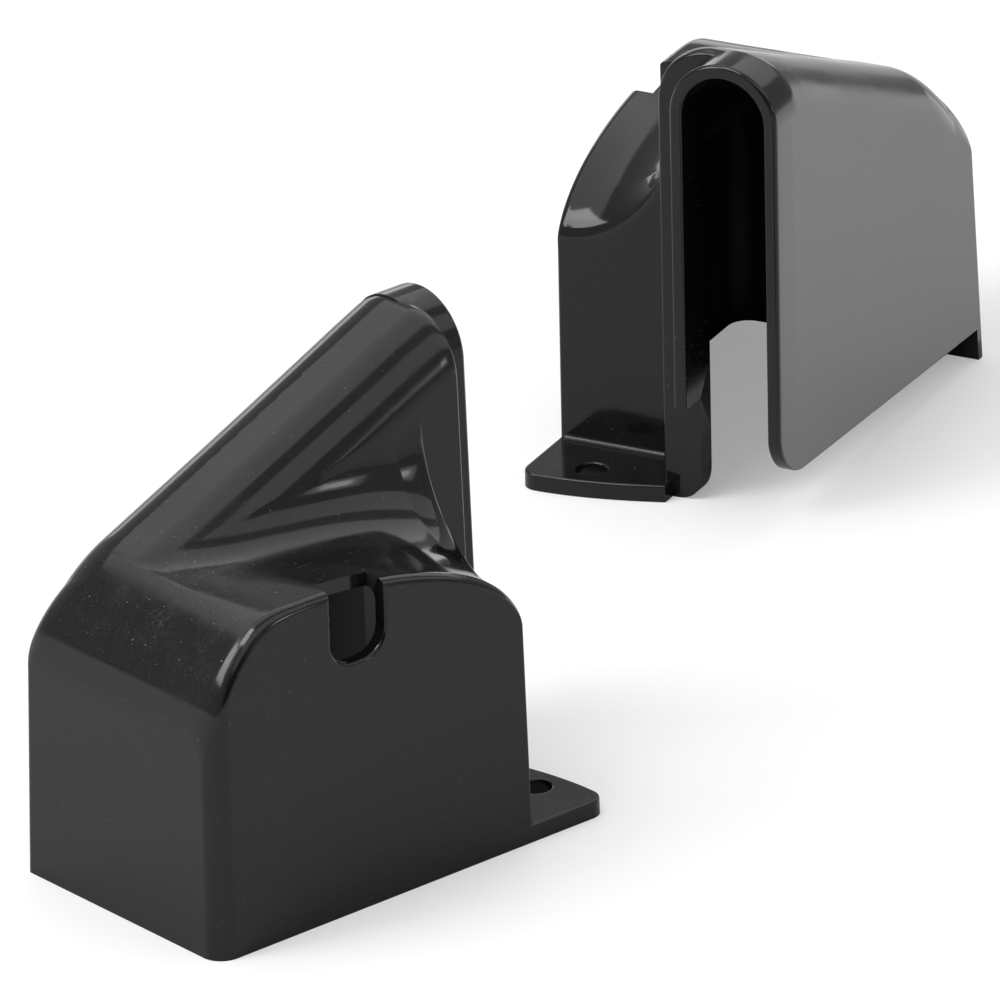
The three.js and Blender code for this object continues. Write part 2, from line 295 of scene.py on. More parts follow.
def shrunk(outline, distance):
    """The outline moved in by a distance, its foot kept on the floor."""
    p = np.array(outline, float)
    along = np.roll(p, -1, axis=0) - np.roll(p, 1, axis=0)
    along /= np.maximum(np.linalg.norm(along, axis=1, keepdims=True), SHORTEST)
    inward = np.stack((along[:, 1], -along[:, 0]), axis=1)
    inward[0] = (1, 0)
    inward[-1] = (-1, 0)
    moved = p + inward * distance
    moved[:, 1] = np.where(p[:, 1] <= 0, p[:, 1], np.maximum(moved[:, 1], 0))
    return [tuple(q) for q in moved]


def solid_from(rings, name):
    """Closed mesh through rings of points (x, y, z), all with the same count, capped at both ends."""
    mesh = bmesh.new()
    grid = [[mesh.verts.new(p) for p in ring] for ring in rings]
    count = len(grid[0])
    for a, b in zip(grid, grid[1:]):
        for i in range(count):
            j = (i + 1) % count
            mesh.faces.new((a[i], a[j], b[j], b[i]))
    mesh.faces.new(grid[0])
    mesh.faces.new(list(reversed(grid[-1])))
    bmesh.ops.remove_doubles(mesh, verts=mesh.verts, dist=MERGE_DISTANCE)
    bmesh.ops.recalc_face_normals(mesh, faces=mesh.faces)
    bmesh.ops.triangulate(mesh, faces=[f for f in mesh.faces if len(f.verts) > 4])
    data = bpy.data.meshes.new(name)
    mesh.to_mesh(data)
    mesh.free()
    piece = bpy.data.objects.new(name, data)
    bpy.context.scene.collection.objects.link(piece)
    return piece


def quarter_turns(radius):
    """Pairs (along, in) for a rounded end edge, from the side to the end face."""
    for i in range(BEVEL_STEPS + 1):
        a = i / BEVEL_STEPS * math.pi / 2
        yield radius * math.sin(a), radius * (1 - math.cos(a))


def crease_ring(x, inward):
    """The box's end outline with its scooped edge pulled in; the ridge above it stays."""
    full = section(x)
    moved = shrunk(full, inward)
    last = EDGE_STEPS + 2 + SCOOP_STEPS
    ring = []
    for i, (kept, pulled) in enumerate(zip(full, moved)):
        fade = clamp01((last - i) / (SCOOP_STEPS * CREASE_FADE))
        ring.append((x, lerp(kept[0], pulled[0], fade), lerp(kept[1], pulled[1], fade)))
    return ring


def body_solid(inset, channel_end):
    """Body or cavity: the full outline up to the box's end, then the channel alone."""
    box_end = BODY_LENGTH - inset
    xs = []
    for i in range(SHOULDER_STEPS):
        a = i / SHOULDER_STEPS * (math.pi / 2 - RIDGE_ANGLE)
        xs.append(SHOULDER_RADIUS - (SHOULDER_RADIUS - inset) * math.cos(a))
    start = SHOULDER_RADIUS - (SHOULDER_RADIUS - inset) * math.sin(RIDGE_ANGLE)
    stop = box_end - (0 if inset > 0 else EDGE_ROUND)
    for i in range(LENGTH_STEPS + 1):
        xs.append(lerp(start, stop, math.sin(i / LENGTH_STEPS * math.pi / 2)))
    rings = [[(x, y, z) for y, z in section(x, inset)] for x in xs]
    if inset == 0:
        for along, inward in quarter_turns(EDGE_ROUND):
            if along > 0:
                rings.append(crease_ring(stop + along, inward))
    rings.append([(box_end, y, z) for y, z in section(box_end, inset, True)])
    stop = channel_end - (0 if inset > 0 else EDGE_ROUND)
    drop_start = channel_end - RIDGE_END_LENGTH
    for i in range(DROP_STEPS + 1):
        x = lerp(drop_start, stop, math.sin(i / DROP_STEPS * math.pi / 2))
        rings.append([(x, y, z) for y, z in section(x, inset, True)])
    if inset == 0:
        last = section(stop, 0, True)
        for along, inward in quarter_turns(EDGE_ROUND):
            if along > 0:
                rings.append([(stop + along, y, z) for y, z in shrunk(last, inward)])
    return solid_from(rings, "body")


def arch_outline(left, right, top, bottom, grow=0.0):
    """Inverted U (y, z), anticlockwise from its lower left."""
    radius = (right - left) / 2 + grow
    centre = (left + right) / 2
    points = [(left - grow, bottom)]
    for i in range(ARC_STEPS + 1):
        a = math.pi * (1 - i / ARC_STEPS)
        points.append((centre + radius * math.cos(a), top + grow - radius + radius * math.sin(a)))
    points.append((right + grow, bottom))
    return points


def collar_solid():
    rings = []
    for x in (CHANNEL_END - OVER, (CHANNEL_END + COLLAR_END) / 2):
        rings.append([(x, y, z) for y, z in arch_outline(COLLAR_SIDE, BODY_WIDTH, COLLAR_TOP, 0)])
    for along, inward in quarter_turns(EDGE_ROUND):
        outline = arch_outline(COLLAR_SIDE, BODY_WIDTH, COLLAR_TOP, 0, -inward)
        rings.append([(COLLAR_END - EDGE_ROUND + along, y, z) for y, z in outline])
    return solid_from(rings, "collar")


def collar_bore():
    left = COLLAR_SIDE + WALL
    right = BODY_WIDTH - WALL
    rings = []
    for x in (CHANNEL_END - END_WALL - BITE, COLLAR_END - SMALL_ROUND):
        rings.append([(x, y, z) for y, z in arch_outline(left, right, COLLAR_TOP - WALL, -OVER)])
    for i in range(1, BEVEL_STEPS + 1):
        a = i / BEVEL_STEPS * math.pi / 2
        x = COLLAR_END - SMALL_ROUND + SMALL_ROUND * math.sin(a)
        grow = SMALL_ROUND * (1 - math.cos(a))
        outline = arch_outline(left, right, COLLAR_TOP - WALL, -OVER, grow)
        rings.append([(x, y, z) for y, z in outline])
    outline = arch_outline(left, right, COLLAR_TOP - WALL, -OVER, SMALL_ROUND)
    rings.append([(COLLAR_END + OVER, y, z) for y, z in outline])
    return solid_from(rings, "bore")


def block(low, high, name):
    x0, y0, z0 = low
    x1, y1, z1 = high
    ring = [(y0, z0), (y0, z1), (y1, z1), (y1, z0)]
    return solid_from([[(x, y, z) for y, z in ring] for x in (x0, x1)], name)


def leg_relief():
    low = (CHANNEL_END, COLLAR_SIDE - OVER, -OVER)
    high = (COLLAR_END + OVER, COLLAR_SIDE + WALL + OVER, COLLAR_LEG_FOOT)
    return block(low, high, "leg_relief")


def end_wall_corner():
    """Rounds the lower free corner of the channel's end wall."""
    free = COLLAR_SIDE + WALL
    outline = [(END_CORNER_START, -OVER), (END_CORNER_START, 0.0)]
    for i in range(1, EDGE_STEPS + 1):
        t = i / EDGE_STEPS
        y = (1 - t)**2 * END_CORNER_START + 2 * t * (1 - t) * free + t * t * free
        outline.append((y, t * t * END_CORNER_HEIGHT))
    outline += [(free + OVER, END_CORNER_HEIGHT), (free + OVER, -OVER)]
    ends = (CHANNEL_END - END_WALL - BITE, CHANNEL_END + OVER)
    return solid_from([[(x, y, z) for y, z in outline] for x in ends], "end_corner")


def side_relief():
    """Raises the flat side's lower edge, with a round corner at the open end."""
    slope = (SIDE_EDGE_HIGH - SIDE_EDGE_LOW) / COLLAR_END

    def outline(grow):
        far = COLLAR_END + OVER
        points = [(WALL, -OVER), (far, -OVER), (far, SIDE_EDGE_HIGH + SIDE_CORNER + OVER)]
        for i in range(ARC_STEPS // 2 + 1):
            a = -i / (ARC_STEPS // 2) * math.pi / 2
            x = COLLAR_END - SIDE_CORNER + (SIDE_CORNER - grow) * math.cos(a)
            z = SIDE_EDGE_HIGH + SIDE_CORNER + (SIDE_CORNER - grow) * math.sin(a)
            points.append((x, z))
        points.append((WALL, SIDE_EDGE_LOW + slope * WALL + grow))
        return points

    rings = []
    for y in (BODY_WIDTH - WALL - BITE, BODY_WIDTH - SMALL_ROUND):
        rings.append([(x, y, z) for x, z in outline(0)])
    for along, grow in quarter_turns(SMALL_ROUND):
        if along > 0:
            rings.append([(x, BODY_WIDTH - SMALL_ROUND + along, z) for x, z in outline(grow)])
    rings.append([(x, BODY_WIDTH + OVER, z) for x, z in outline(SMALL_ROUND)])
    return solid_from(rings, "side_relief")


def notch_cutter():
    top = ARCH_CENTRE_Z + ARCH_RISE + OVER

    def outline(grow):
        points = [(NOTCH_LEFT - grow, top)]
        corners = ((NOTCH_LEFT + NOTCH_RADIUS, math.pi), (NOTCH_RIGHT - NOTCH_RADIUS, 1.5 * math.pi))
        radius = NOTCH_RADIUS + grow
        for centre, begin in corners:
            for i in range(ARC_STEPS // 4 + 1):
                a = begin + i / (ARC_STEPS // 4) * math.pi / 2
                z = NOTCH_FLOOR + NOTCH_RADIUS + radius * math.sin(a)
                points.append((centre + radius * math.cos(a), z))
        points.append((NOTCH_RIGHT + grow, top))
        return points

    rings = [[(x, -OVER, z) for x, z in outline(EDGE_ROUND)]]
    for i in range(BEVEL_STEPS + 1):
        a = (1 - i / BEVEL_STEPS) * math.pi / 2
        depth = EDGE_ROUND * (1 - math.sin(a))
        rings.append([(x, depth, z) for x, z in outline(EDGE_ROUND * (1 - math.cos(a)))])
    rings.append([(x, NOTCH_DEPTH, z) for x, z in outline(0)])
    return solid_from(rings, "notch")


def tab_outline(grow):
    """Foot plate (x, y), pulled in by -grow."""
    root = BODY_LENGTH - OVER
    points = [(root, -grow)]
    steps = ARC_STEPS // 4
    inside = TAB_CORNER + grow
    for i in range(steps + 1):
        a = -math.pi / 2 + i / steps * math.pi / 2
        x = TAB_END - TAB_CORNER + inside * math.cos(a)
        points.append((x, TAB_CORNER + inside * math.sin(a)))
    for i in range(1, steps + 1):
        t = i / steps
        x = (1 - t)**2 * TAB_END + 2 * t * (1 - t) * TAB_END + t * t * TAB_END_FAR + grow
        y = (1 - t)**2 * TAB_CORNER + 2 * t * (1 - t) * TAB_WIDTH / 2 + t * t * (TAB_WIDTH + grow)
        points.append((x, y))
    points.append((root, TAB_WIDTH + grow))
    return points


def tab_solid():
    rings = []
    for i in range(BEVEL_STEPS + 1):
        a = i / BEVEL_STEPS * math.pi / 2
        outline = tab_outline(-SMALL_ROUND * (1 - math.cos(math.pi / 2 - a)))
        rings.append([(x, y, SMALL_ROUND * (1 - math.sin(a))) for x, y in outline])
    for i in range(BEVEL_STEPS + 1):
        a = i / BEVEL_STEPS * math.pi / 2
        z = TAB_THICKNESS - SMALL_ROUND * (1 - math.sin(a))
        outline = tab_outline(-SMALL_ROUND * (1 - math.cos(a)))
        rings.append([(x, y, z) for x, y in outline])
    return solid_from(rings, "tab")


def tab_fillet():
    """Concave strip where the tab's top meets the box's end wall."""
    root = BODY_LENGTH - OVER / 4
    below = TAB_THICKNESS - OVER / 4
    outline = [(root, below), (root, TAB_THICKNESS + FILLET_RADIUS)]
    for i in range(BEVEL_STEPS + 1):
        a = math.pi + i / BEVEL_STEPS * math.pi / 2
        outline.append((
            BODY_LENGTH + FILLET_RADIUS * (1 + math.cos(a)),
            TAB_THICKNESS + FILLET_RADIUS * (1 + math.sin(a)),
        ))
    outline.append((BODY_LENGTH + FILLET_RADIUS, below))
    return solid_from([[(x, y, z) for x, z in outline] for y in FILLET_ENDS], "fillet")


def screw_hole():
    rings = []
    levels = [(-OVER, 0.0)]
    for i in range(BEVEL_STEPS + 1):
        a = i / BEVEL_STEPS * math.pi / 2
        z = TAB_THICKNESS - SMALL_ROUND * (1 - math.sin(a))
        levels.append((z, SMALL_ROUND * (1 - math.cos(a))))
    levels.append((TAB_THICKNESS + OVER, SMALL_ROUND))
    for z, grow in levels:
        radius = HOLE_RADIUS + grow
        rings.append([
            (HOLE_X + radius * math.cos(a), HOLE_Y + radius * math.sin(a), z)
            for a in (i / ARC_STEPS * 2 * math.pi for i in range(ARC_STEPS))
        ])
    return solid_from(rings, "hole")


def cavity_mouth():
    """Opens the inside through the base."""
    inner = CHANNEL_SIDE + WALL
    right = BODY_WIDTH - WALL
    corner = []
    for i in range(EDGE_STEPS + 1):
        a = math.pi + i / EDGE_STEPS * math.pi / 2
        x = WALL + CORNER_RADIUS * (1 + math.cos(a))
        corner.append((x, WALL + CORNER_RADIUS * (1 + math.sin(a))))
    outline = corner + [
        (BODY_LENGTH - WALL, WALL),
        (BODY_LENGTH - WALL, inner),
        (CHANNEL_END - END_WALL, inner),
        (CHANNEL_END - END_WALL, right),
        (WALL, right),
    ]
    return solid_from([[(x, y, z) for x, y in outline] for z in (-OVER, OVER)], "mouth")


def drafted(x, y, z):
    """Moulding draft: the end faces lean in as they rise, and so does the flat side at its plain end."""
    end_lean = max(-1.0, 1 - 2 * x / BODY_LENGTH)
    side_lean = clamp01(1 - x / CHANNEL_END) * (y / BODY_WIDTH)
    return x + END_DRAFT * z * end_lean, y - SIDE_DRAFT * z * side_lean, z


def combine(base, other, operation):
    modifier = base.modifiers.new(operation, "BOOLEAN")
    modifier.operation = operation
    modifier.object = other
    modifier.solver = "MANIFOLD"
    bpy.context.view_layer.update()
    graph = bpy.context.evaluated_depsgraph_get()
    result = bpy.data.meshes.new_from_object(base.evaluated_get(graph), depsgraph=graph)
    base.modifiers.clear()
    old = base.data
    base.data = result
    bpy.data.meshes.remove(old)
    bpy.data.objects.remove(other)


def guard_mesh():
    body = body_solid(0, CHANNEL_END)
    for other in (collar_solid(), tab_solid(), tab_fillet()):
        combine(body, other, "UNION")
    cutters = (
        body_solid(WALL, CHANNEL_END - END_WALL),
        cavity_mouth(),
        collar_bore(),
        leg_relief(),
        end_wall_corner(),
        side_relief(),
        notch_cutter(),
        screw_hole(),
    )
    for other in cutters:
        combine(body, other, "DIFFERENCE")
    mesh = bmesh.new()
    mesh.from_mesh(body.data)
    for vertex in mesh.verts:
        vertex.co = Vector(drafted(*vertex.co)) * MM
    bmesh.ops.triangulate(mesh, faces=mesh.faces)
    data = bpy.data.meshes.new("guard")
    mesh.to_mesh(data)
    mesh.free()
    bpy.data.objects.remove(body)
    return data


def flat_regions(mesh):
    """Area of the flat region that each face belongs to, for weighting the corner normals."""
    parent = list(range(len(mesh.faces)))

    def root(i):
        while parent[i] != i:
            parent[i] = parent[parent[i]]
            i = parent[i]
        return i

    for edge in mesh.edges:
        if len(edge.link_faces) == 2:
            a, b = edge.link_faces
            if a.normal.dot(b.normal) > FLAT_COSINE:
                parent[root(a.index)] = root(b.index)
    area = {}
    for face in mesh.faces:
        area[root(face.index)] = area.get(root(face.index), 0) + face.calc_area()
    return [area[root(face.index)] for face in mesh.faces]


def corner_normals(data):
    """Corner normals that keep flat faces flat and turn smoothly over the rounded edges."""
    mesh = bmesh.new()
    mesh.from_mesh(data)
    mesh.faces.ensure_lookup_table()
    mesh.faces.index_update()
    mesh.normal_update()
    region = flat_regions(mesh)
    normals = []
    for face in mesh.faces:
        for loop in face.loops:
            total = Vector((0, 0, 0))
            for other in loop.vert.link_loops:
                if other.face.normal.dot(face.normal) > CREASE_COSINE:
                    total += other.face.normal * (other.calc_angle() * region[other.face.index])
            normals.append(total.normalized() if total.length > 0 else face.normal.copy())
    mesh.free()
    return normals


# ---------------------------------------------------------------- material
# Gloss-moulded black plastic, handled and a little dusty, its rounded edges lighter with wear and a
# painted highlight.
PLASTIC_BLACK = (0.0045, 0.0051, 0.0050, 1)
DUST_GREY = (0.20, 0.20, 0.185, 1)
PLASTIC_IOR = 1.43

# Noise patterns over the object in metres: scale, detail, roughness, and the values that give 0 and 1.
HANDLED = (28.0, 3.0, 0.5, 0.42, 0.62)
CHALK = (1300.0, 4.0, 0.7, 0.46, 0.70)
CHALK_BLOTCH = (95.0, 3.0, 0.5, 0.47, 0.66)
FILM = (60.0, 5.0, 0.65, 0.45, 0.75)
MOTTLE = (260.0, 5.0, 0.7, 0.45, 0.70)
HAZE = (34.0, 6.0, 0.6, 0.38, 0.72)

# Dust grains: cell scale, spot size, and the share of cells with one. SPOT_CORE is a spot's solid part.
GRAINS = ((480.0, 0.13, 0.13), (1150.0, 0.18, 0.10))
SPOT_CORE = 0.4

# Heights of the surface normal that count as facing up, from not at all to fully.
UPWARD = (0.1, 0.9)

# How much of a mark follows a map from 0 to 1, and how much is everywhere.
SCRATCH_HANDLED = (0.75, 0.25)
GRAIN_UPWARD = (0.45, 0.45)
GRAIN_HANDLED = (0.6, 0.4)

# Hair-line scratches: one turn for each direction, bent by a slow noise.
SCRATCH_TURNS = ((0.3, 0.5, 0.2), (-0.4, -0.9, 0.5), (0.2, 0.15, -1.1), (0.9, 0.3, 1.9), (-0.7, 1.2, 0.8))
SCRATCH_STRETCH = (110.0, 3000.0, 3000.0)
SCRATCH_CUT = (0.735, 0.80)
SCRATCH_BEND = 0.006
BEND_SCALE = 40.0

# How much of the dust colour each kind of wear brings; on the rounded edges it is partly wear, partly a
# painted highlight.
GRAIN_DUST = 0.9
CHALK_DUST = 0.18
MOTTLE_DUST = 0.035
SCRATCH_DUST = 0.07
FILM_DUST = 0.018
# The rounded edges are lighter: partly rubbed wear, partly a painted edge highlight.
EDGE_WEAR_AND_HIGHLIGHT = 0.012

# Roughness of the clean skin, and what each kind of wear adds to it.
ROUGHNESS_CLEAN = 0.085
ROUGHNESS_HAZE = 0.09
ROUGHNESS_SCRATCH = 0.22
ROUGHNESS_EDGE = 0.05
ROUGHNESS_INSIDE = 0.5
ROUGHNESS_DUST = 0.8
ROUGHNESS_MOST = 0.9

# Bumps, in metres: slow waves of the skin, fine grain, and cut scratches.
WAVE_HEIGHT = 0.000012
WAVE_SCALE = 75.0
GRAIN_HEIGHT = WAVE_HEIGHT / 6
GRAIN_SCALE = 1500.0
GRAIN_STRENGTH = 0.35
SCRATCH_DEPTH = 0.00002
SCRATCH_STRENGTH = 0.5


def node(tree, kind, inputs=None, **settings):
    made = tree.nodes.new("ShaderNode" + kind)
    for name, value in settings.items():
        setattr(made, name, value)
    for name, value in (inputs or {}).items():
        if isinstance(value, bpy.types.NodeSocket):
            tree.links.new(value, made.inputs[name])
        else:
            made.inputs[name].default_value = value
    return made


def calculate(tree, operation, a, b=0.0, c=0.0):
    made = tree.nodes.new("ShaderNodeMath")
    made.operation = operation
    for socket, value in zip(made.inputs, (a, b, c)):
        if isinstance(value, bpy.types.NodeSocket):
            tree.links.new(value, socket)
        else:
            socket.default_value = value
    return made.outputs[0]


def ramp(tree, value, low, high, to_high=1.0):
    """Smooth step from 0 to to_high as the value goes from low to high."""
    made = node(tree, "MapRange", {
        "Value": value, "From Min": low, "From Max": high, "To Max": to_high,
    }, interpolation_type="SMOOTHSTEP")
    return made.outputs["Result"]


def add_scaled(tree, value, factor, base):
    return calculate(tree, "MULTIPLY_ADD", value, factor, base)


def noise(tree, place, scale, detail=2.0, rough=0.5):
    made = node(tree, "TexNoise", {
        "Vector": place, "Scale": scale, "Detail": detail, "Roughness": rough,
    })
    return made.outputs["Fac"]


def pattern(tree, place, recipe):
    """A noise pattern cut to run from 0 to 1."""
    scale, detail, rough, low, high = recipe
    return ramp(tree, noise(tree, place, scale, detail, rough), low, high)


def scratches(tree, place, turn):
    """Hair lines: noise drawn out along one direction and cut off near its top."""
    mapped = node(tree, "Mapping", {"Vector": place, "Rotation": turn, "Scale": SCRATCH_STRETCH})
    return ramp(tree, noise(tree, mapped.outputs[0], 1.0, 1.0), *SCRATCH_CUT)


def all_scratches(tree, place, handled):
    """Scratches in every direction, thickest where the guard is handled."""
    bend = node(tree, "TexNoise", {"Vector": place, "Scale": BEND_SCALE, "Detail": 1.0}).outputs["Color"]
    drift = node(tree, "VectorMath", {0: bend, 1: (SCRATCH_BEND,) * 3}, operation="MULTIPLY")
    bent = node(tree, "VectorMath", {0: place, 1: drift.outputs[0]}, operation="ADD").outputs[0]
    lines = 0.0
    for turn in SCRATCH_TURNS:
        lines = calculate(tree, "MAXIMUM", lines, scratches(tree, bent, turn))
    return calculate(tree, "MULTIPLY", lines, add_scaled(tree, handled, *SCRATCH_HANDLED))


def specks(tree, place, scale, size, share):
    """Dust grains: small spots in a share of the cells of a cell pattern."""
    cells = node(tree, "TexVoronoi", {"Vector": place, "Scale": scale})
    split = node(tree, "SeparateColor", {"Color": cells.outputs["Color"]})
    chosen = calculate(tree, "LESS_THAN", split.outputs[0], share)
    spot = ramp(tree, cells.outputs["Distance"], size, size * SPOT_CORE)
    return calculate(tree, "MULTIPLY", spot, chosen)


def dust_grains(tree, place, upward, handled):
    """Grains of both sizes, more of them on what faces up and where the guard is handled."""
    grains = calculate(tree, "MAXIMUM", *(specks(tree, place, *grain) for grain in GRAINS))
    settle = add_scaled(tree, upward, *GRAIN_UPWARD)
    gather = add_scaled(tree, handled, *GRAIN_HANDLED)
    return calculate(tree, "MULTIPLY", grains, calculate(tree, "MULTIPLY", settle, gather))


def guard_plastic():
    material = bpy.data.materials.new("guard_plastic")
    material.use_nodes = True
    tree = material.node_tree
    place = node(tree, "TexCoord").outputs["Object"]
    normal = node(tree, "NewGeometry").outputs["Normal"]
    upward = ramp(tree, node(tree, "SeparateXYZ", {"Vector": normal}).outputs["Z"], *UPWARD)
    rubbed, edge, hollow = (
        node(tree, "Attribute", attribute_name=name).outputs["Fac"] for name in (RUBBED, EDGE, HOLLOW))

    handled = pattern(tree, place, HANDLED)
    lines = all_scratches(tree, place, handled)
    grains = dust_grains(tree, place, upward, handled)
    chalk = calculate(tree, "MULTIPLY", pattern(tree, place, CHALK), pattern(tree, place, CHALK_BLOTCH))
    chalk = calculate(tree, "MULTIPLY", chalk, rubbed)
    film = calculate(tree, "MULTIPLY", pattern(tree, place, FILM), upward)
    mottle = calculate(tree, "MULTIPLY", pattern(tree, place, MOTTLE), rubbed)

    # Colour: black plastic under what the wear and the dust bring, and a painted highlight along the
    # rounded edges.
    dust = calculate(tree, "MULTIPLY", grains, GRAIN_DUST)
    for value, factor in (
        (chalk, CHALK_DUST),
        (lines, SCRATCH_DUST),
        (film, FILM_DUST),
        (mottle, MOTTLE_DUST),
        # Rounded edges: partly wear, partly a painted highlight.
        (edge, EDGE_WEAR_AND_HIGHLIGHT),
    ):
        dust = add_scaled(tree, value, factor, dust)
    dust = calculate(tree, "MINIMUM", dust, 1.0)
    colour = node(tree, "Mix", data_type="RGBA")
    # A Mix node's inputs 6 and 7 are its pair of colours.
    tree.links.new(dust, colour.inputs[0])
    colour.inputs[6].default_value = PLASTIC_BLACK
    colour.inputs[7].default_value = DUST_GREY

    # Gloss: clean skin, hazier in patches, dull where it is scratched or dusty and on the inside.
    rough = add_scaled(tree, pattern(tree, place, HAZE), ROUGHNESS_HAZE, ROUGHNESS_CLEAN)
    for value, factor in (
        (lines, ROUGHNESS_SCRATCH),
        (edge, ROUGHNESS_EDGE),
        (hollow, ROUGHNESS_INSIDE),
        (dust, ROUGHNESS_DUST),
    ):
        rough = add_scaled(tree, value, factor, rough)
    rough = calculate(tree, "MINIMUM", rough, ROUGHNESS_MOST)

    # Slow waves of the moulded skin, its grain, then the scratches cut into it.
    waves = node(tree, "Bump", {
        "Strength": 1.0, "Distance": WAVE_HEIGHT, "Height": noise(tree, place, WAVE_SCALE),
    })
    grain = node(tree, "Bump", {
        "Strength": GRAIN_STRENGTH, "Distance": GRAIN_HEIGHT, "Height": noise(tree, place, GRAIN_SCALE),
        "Normal": waves.outputs[0],
    })
    cuts = node(tree, "Bump", {
        "Strength": SCRATCH_STRENGTH, "Distance": SCRATCH_DEPTH, "Height": lines,
        "Normal": grain.outputs[0],
    }, invert=True)

    shader = tree.nodes["Principled BSDF"]
    shader.inputs["IOR"].default_value = PLASTIC_IOR
    tree.links.new(colour.outputs[2], shader.inputs["Base Color"])
    tree.links.new(rough, shader.inputs["Roughness"])
    tree.links.new(cuts.outputs[0], shader.inputs["Normal"])
    return material


# ---------------------------------------------------------------- the two guards
def rubbed_at(vertex):
    gap = vertex.co / MM - RUBBED_CENTRE
    return math.exp(-sum((g / r)**2 for g, r in zip(gap, RUBBED_REACH)))


def edge_at(vertex):
    """From 0 on a gentle curve to 1 on a tight one, by the sharpest fold for each millimetre."""
    turn = max(
        edge.calc_face_angle(0) / max(edge.calc_length() / MM, FINEST_EDGE) for edge in vertex.link_edges)
    return clamp01((turn * EDGE_ROUND - EDGE_TURN_LOW) / (EDGE_TURN_HIGH - EDGE_TURN_LOW))


def in_hollow(face):
    """Whether a face is on the shell's inside, by where it is and which way it looks."""
    centre = face.calc_center_median() / MM
    over_tab = centre.x > BODY_LENGTH and centre.y < CHANNEL_SIDE
    within = all(
        WALL - FINEST_EDGE < c < size - WALL + FINEST_EDGE
        for c, size in zip(centre[:2], (CHANNEL_END, BODY_WIDTH)))
    inward = face.normal.dot(HOLLOW_CENTRE - centre) > 0
    return within and inward and centre.z > HOLLOW_LOWEST and not over_tab


def add_wear(data):
    """Marks for the material: rubbing for each vertex, edges and the inside for each face corner."""
    mesh = bmesh.new()
    mesh.from_mesh(data)
    mesh.faces.ensure_lookup_table()
    mesh.faces.index_update()
    mesh.normal_update()
    region = flat_regions(mesh)
    rubbed = [rubbed_at(vertex) for vertex in mesh.verts]
    edge = []
    hollow = []
    for face in mesh.faces:
        flat = region[face.index] > FLAT_AREA * MM * MM
        edge.extend(0.0 if flat else edge_at(loop.vert) for loop in face.loops)
        hollow.extend([float(in_hollow(face))] * len(face.loops))
    mesh.free()
    for name, domain, values in (
        (RUBBED, "POINT", rubbed),
        (EDGE, "CORNER", edge),
        (HOLLOW, "CORNER", hollow),
    ):
        data.attributes.new(name, "FLOAT", domain).data.foreach_set("value", values)


def turned_low(turn):
    """Low corner of the CAD guard, standing on its own origin, once it is turned about +Z."""
    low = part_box("guard_near")[0]
    spin = Matrix.Rotation(turn, 3, "Z")
    corners = [spin @ (v.co - low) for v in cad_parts["guard_near"].data.vertices]
    return Vector(min(c[i] for c in corners) for i in range(3))


def place_guards():
    plastic = guard_plastic()
    data = guard_mesh()
    add_wear(data)
    normals = corner_normals(data)
    for guard, body, turn in (
        ("guard_near", "near_guard", 0.0),
        ("guard_far", "far_guard", FAR_TURN),
    ):
        mesh = data.copy()
        mesh.transform(Matrix.Rotation(turn, 4, "Z"))
        mesh.transform(Matrix.Translation(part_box(guard)[0] - turned_low(turn)))
        mesh.materials.append(plastic)
        spin = Matrix.Rotation(turn, 3, "Z")
        mesh.shade_smooth()
        mesh.normals_split_custom_set([spin @ n for n in normals])
        piece = bpy.data.objects.new(guard + "_moulding", mesh)
        bpy.context.scene.collection.objects.link(piece)
        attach(piece, body)
        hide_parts(guard)


place_guards()

# ---------------------------------------------------------------- floor and light
FLOOR_SIZE = 12.0
FLOOR_COLOUR = (0.56, 0.56, 0.56, 1)
# Extra brightness of the floor to the camera alone, so that it doesn't light the guards' insides.
FLOOR_LIFT = 0.32

# The room is even, but darker behind the camera.
ROOM_LIGHT = 0.42
DARK_WAY = (180, 14)
DARK_FROM = 0.98
DARK_TO = 0.72

# Overhead panels: their span from front to back for each metre of height, and radiance.
OVERHEAD_HEIGHT = 1.5
OVERHEAD_X = 0.75
OVERHEAD_LENGTH = 6.0
OVERHEADS = {"overhead_back": (-0.11, 1.05, 1.08), "overhead_front": (-1.40, -0.46, 0.9)}

# Softboxes round the pair: azimuth, elevation, distance, size and radiance.
STUDIO_RADIUS = 2.0
CORE_RADIUS = STUDIO_RADIUS * 0.98
LIGHT_AIM = (0, 0, 0.05)
SOFTBOXES = {
    "left_box": (108, 33, STUDIO_RADIUS, (0.85, 0.9), 5.8),
    "left_high_box": (133, 58, STUDIO_RADIUS, (0.9, 0.7), 7.0),
    "back_box": (0, 11, STUDIO_RADIUS, (1.8, 0.45), 1.4),
    "right_box": (-116, 14, STUDIO_RADIUS, (0.46, 0.40), 1.3),
    "right_core": (-116, 14, CORE_RADIUS, (0.26, 0.20), 4.2),
}

# A pale sheet on the floor beside the far guard's flat side, placed along and out from its box's corner.
CARD_SIZE = (4.0, 0.5)
CARD_HEIGHT = 0.001
CARD_BACK = -0.10
CARD_GAP = -0.034
CARD_RADIANCE = 0.9


def add_floor():
    mesh = bmesh.new()
    bmesh.ops.create_grid(mesh, x_segments=1, y_segments=1, size=FLOOR_SIZE / 2)
    data = bpy.data.meshes.new("floor")
    mesh.to_mesh(data)
    mesh.free()
    floor = bpy.data.objects.new("floor", data)
    material = bpy.data.materials.new("floor")
    material.use_nodes = True
    shader = material.node_tree.nodes["Principled BSDF"]
    shader.inputs["Base Color"].default_value = FLOOR_COLOUR
    shader.inputs["Roughness"].default_value = 1.0
    shader.inputs["Specular IOR Level"].default_value = 0.0
    shader.inputs["Emission Color"].default_value = (1, 1, 1, 1)
    seen = node(material.node_tree, "LightPath").outputs["Is Camera Ray"]
    lift = calculate(material.node_tree, "MULTIPLY", seen, FLOOR_LIFT)
    material.node_tree.links.new(lift, shader.inputs["Emission Strength"])
    data.materials.append(material)
    bpy.context.scene.collection.objects.link(floor)


